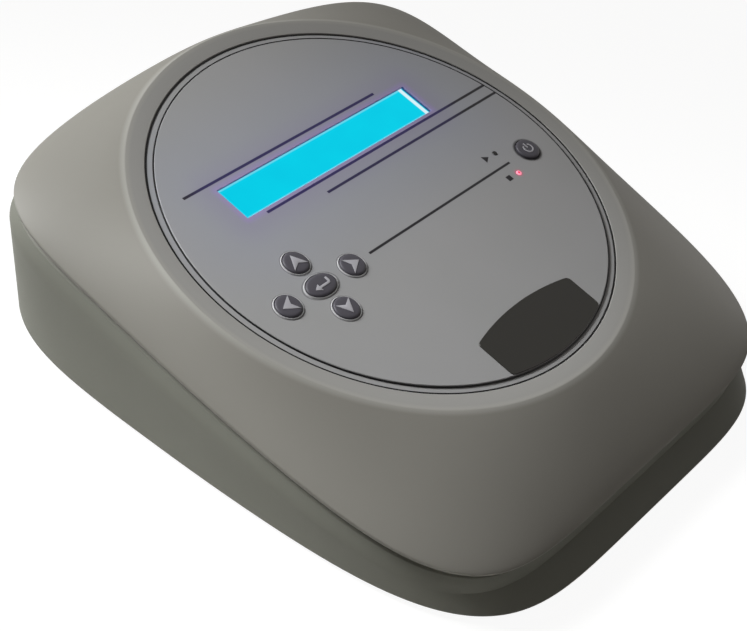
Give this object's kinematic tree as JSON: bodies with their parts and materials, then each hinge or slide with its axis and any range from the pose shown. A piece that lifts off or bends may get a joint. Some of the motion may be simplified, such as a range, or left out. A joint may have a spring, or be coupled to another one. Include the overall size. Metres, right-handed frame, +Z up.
{
  "type": "compression therapy pump",
  "caption": "Table-top compression therapy air pump: wedge case with a tilted round control face, lit display, keys and lamps, and a rear bay of air outlets, rocker switch and mains inlet.",
  "frame": {"origin": "on the table under the middle of the case, at the bottom centre of its box", "axes": "+Z up, the user faces the low front edge at -Y, the connector bay faces +Y, +X to the user's right"},
  "size_m": [0.312, 0.357, 0.1151],
  "materials": {
    "upper_shell": "satin moulded silver-grey plastic with a fine spark texture",
    "lower_shell": "satin moulded grey plastic with a fine spark texture",
    "control_panel": "satin silver-grey printed panel",
    "display_pane": "clear tinted pane lit from behind",
    "badge": "dark glossy bare badge",
    "keys": "dark charcoal domed keys with silver marks",
    "lamp_off": "dark unlit lamp",
    "lamp_lit": "lit red lamp",
    "circuit_board": "green soldered circuit board",
    "supply_board": "tan circuit board",
    "display_glass": "backlit display glass",
    "electronic_parts": "black moulded components",
    "sensor_body": "off-white sensor housing",
    "ribbon_cable": "light grey flat cable",
    "heat_sink": "extruded bare aluminium",
    "screws": "zinc-plated steel",
    "transformer": "stacked steel laminations and taped winding",
    "pump_plate": "grey painted sheet steel",
    "pump_core": "stacked steel laminations",
    "coil_winding": "varnished copper winding",
    "pump_heads": "die-cast aluminium",
    "armature": "ground steel",
    "rubber_parts": "black moulded rubber",
    "manifold": "machined aluminium",
    "valve_bodies": "dark moulded coil housings",
    "plungers": "polished steel",
    "air_hose": "milky silicone tubing",
    "outlet_fittings": "dark moulded nipples",
    "rear_panel": "grey painted sheet steel",
    "inlet_body": "black moulded insulating plastic",
    "inlet_pins": "plated brass blades",
    "rocker": "black rocker",
    "mains_lead": "insulated wires"
  },
  "bodies": {
    "case": {"top_cover": "upper_shell", "bottom_cover": "lower_shell", "front_plate": "control_panel", "display_window": "display_pane", "badge": "badge", "lamp_run": "lamp_off", "lamp_stop": "lamp_lit", "display_module": "circuit_board", "display_glass": "display_glass", "display_screws": "screws", "key_board": "circuit_board", "key_switches": "electronic_parts", "key_board_screws": "screws", "ribbon_cables": "ribbon_cable", "main_board": "circuit_board", "main_parts": "electronic_parts", "heat_sink": "heat_sink", "pressure_sensor": "sensor_body", "supply_board": "supply_board", "supply_parts": "electronic_parts", "transformer": "transformer", "board_screws": "screws", "pump_cradle": "pump_plate", "pump_core": "pump_core", "pump_coils": "coil_winding", "pump_heads": "pump_heads", "head_screws": "screws", "pump_mounts": "rubber_parts", "valve_manifold": "manifold", "valve_bodies": "valve_bodies", "air_hoses": "air_hose", "outlet_fittings": "outlet_fittings", "rear_panel": "rear_panel", "panel_screws": "screws", "mains_inlet": "inlet_body", "inlet_pins": "inlet_pins", "switch_frame": "inlet_body", "mains_leads": "mains_lead", "feet": "rubber_parts", "case_screws": "screws"},
    "up_key": {"key_up": "keys"},
    "down_key": {"key_down": "keys"},
    "left_key": {"key_left": "keys"},
    "right_key": {"key_right": "keys"},
    "middle_key": {"key_oval": "keys"},
    "start_key": {"key_start": "keys"},
    "armature": {"pump_armature": "armature", "pump_diaphragms": "rubber_parts"},
    "plunger_1": {"valve_plunger_1": "plungers"},
    "plunger_2": {"valve_plunger_2": "plungers"},
    "plunger_3": {"valve_plunger_3": "plungers"},
    "plunger_4": {"valve_plunger_4": "plungers"},
    "fuse_holder": {"fuse_drawer": "inlet_body"},
    "rocker": {"switch_rocker": "rocker"}
  },
  "joints": [
    {"name": "up_key_press", "type": "slide", "parent": "case", "child": "up_key", "axis": [0, 0.2079, -0.9781], "range_m": [0, 0.0006], "stiffness_N_per_m": 800, "springref_m": -0.0006},
    {"name": "down_key_press", "type": "slide", "parent": "case", "child": "down_key", "axis": [0, 0.2079, -0.9781], "range_m": [0, 0.0006], "stiffness_N_per_m": 800, "springref_m": -0.0006},
    {"name": "left_key_press", "type": "slide", "parent": "case", "child": "left_key", "axis": [0, 0.2079, -0.9781], "range_m": [0, 0.0006], "stiffness_N_per_m": 800, "springref_m": -0.0006},
    {"name": "right_key_press", "type": "slide", "parent": "case", "child": "right_key", "axis": [0, 0.2079, -0.9781], "range_m": [0, 0.0006], "stiffness_N_per_m": 800, "springref_m": -0.0006},
    {"name": "middle_key_press", "type": "slide", "parent": "case", "child": "middle_key", "axis": [0, 0.2079, -0.9781], "range_m": [0, 0.0006], "stiffness_N_per_m": 800, "springref_m": -0.0006},
    {"name": "start_key_press", "type": "slide", "parent": "case", "child": "start_key", "axis": [0, 0.2079, -0.9781], "range_m": [0, 0.0006], "stiffness_N_per_m": 800, "springref_m": -0.0006},
    {"name": "armature_stroke", "type": "slide", "parent": "case", "child": "armature", "axis": [1, 0, 0], "range_m": [-0.0015, 0.0015], "stiffness_N_per_m": 2000},
    {"name": "plunger_1_lift", "type": "slide", "parent": "case", "child": "plunger_1", "axis": [0, 0, 1], "range_m": [0, 0.001], "stiffness_N_per_m": 150, "springref_m": -0.002},
    {"name": "plunger_2_lift", "type": "slide", "parent": "case", "child": "plunger_2", "axis": [0, 0, 1], "range_m": [0, 0.001], "stiffness_N_per_m": 150, "springref_m": -0.002},
    {"name": "plunger_3_lift", "type": "slide", "parent": "case", "child": "plunger_3", "axis": [0, 0, 1], "range_m": [0, 0.001], "stiffness_N_per_m": 150, "springref_m": -0.002},
    {"name": "plunger_4_lift", "type": "slide", "parent": "case", "child": "plunger_4", "axis": [0, 0, 1], "range_m": [0, 0.001], "stiffness_N_per_m": 150, "springref_m": -0.002},
    {"name": "fuse_holder_pull", "type": "slide", "parent": "case", "child": "fuse_holder", "axis": [0, 1, 0], "range_m": [0, 0.01]},
    {"name": "rocker_swing", "type": "hinge", "parent": "case", "child": "rocker", "pos_m": [0.021, 0.1527, 0.046], "axis": [-1, 0, 0], "range_deg": [0, 18]}
  ]
}
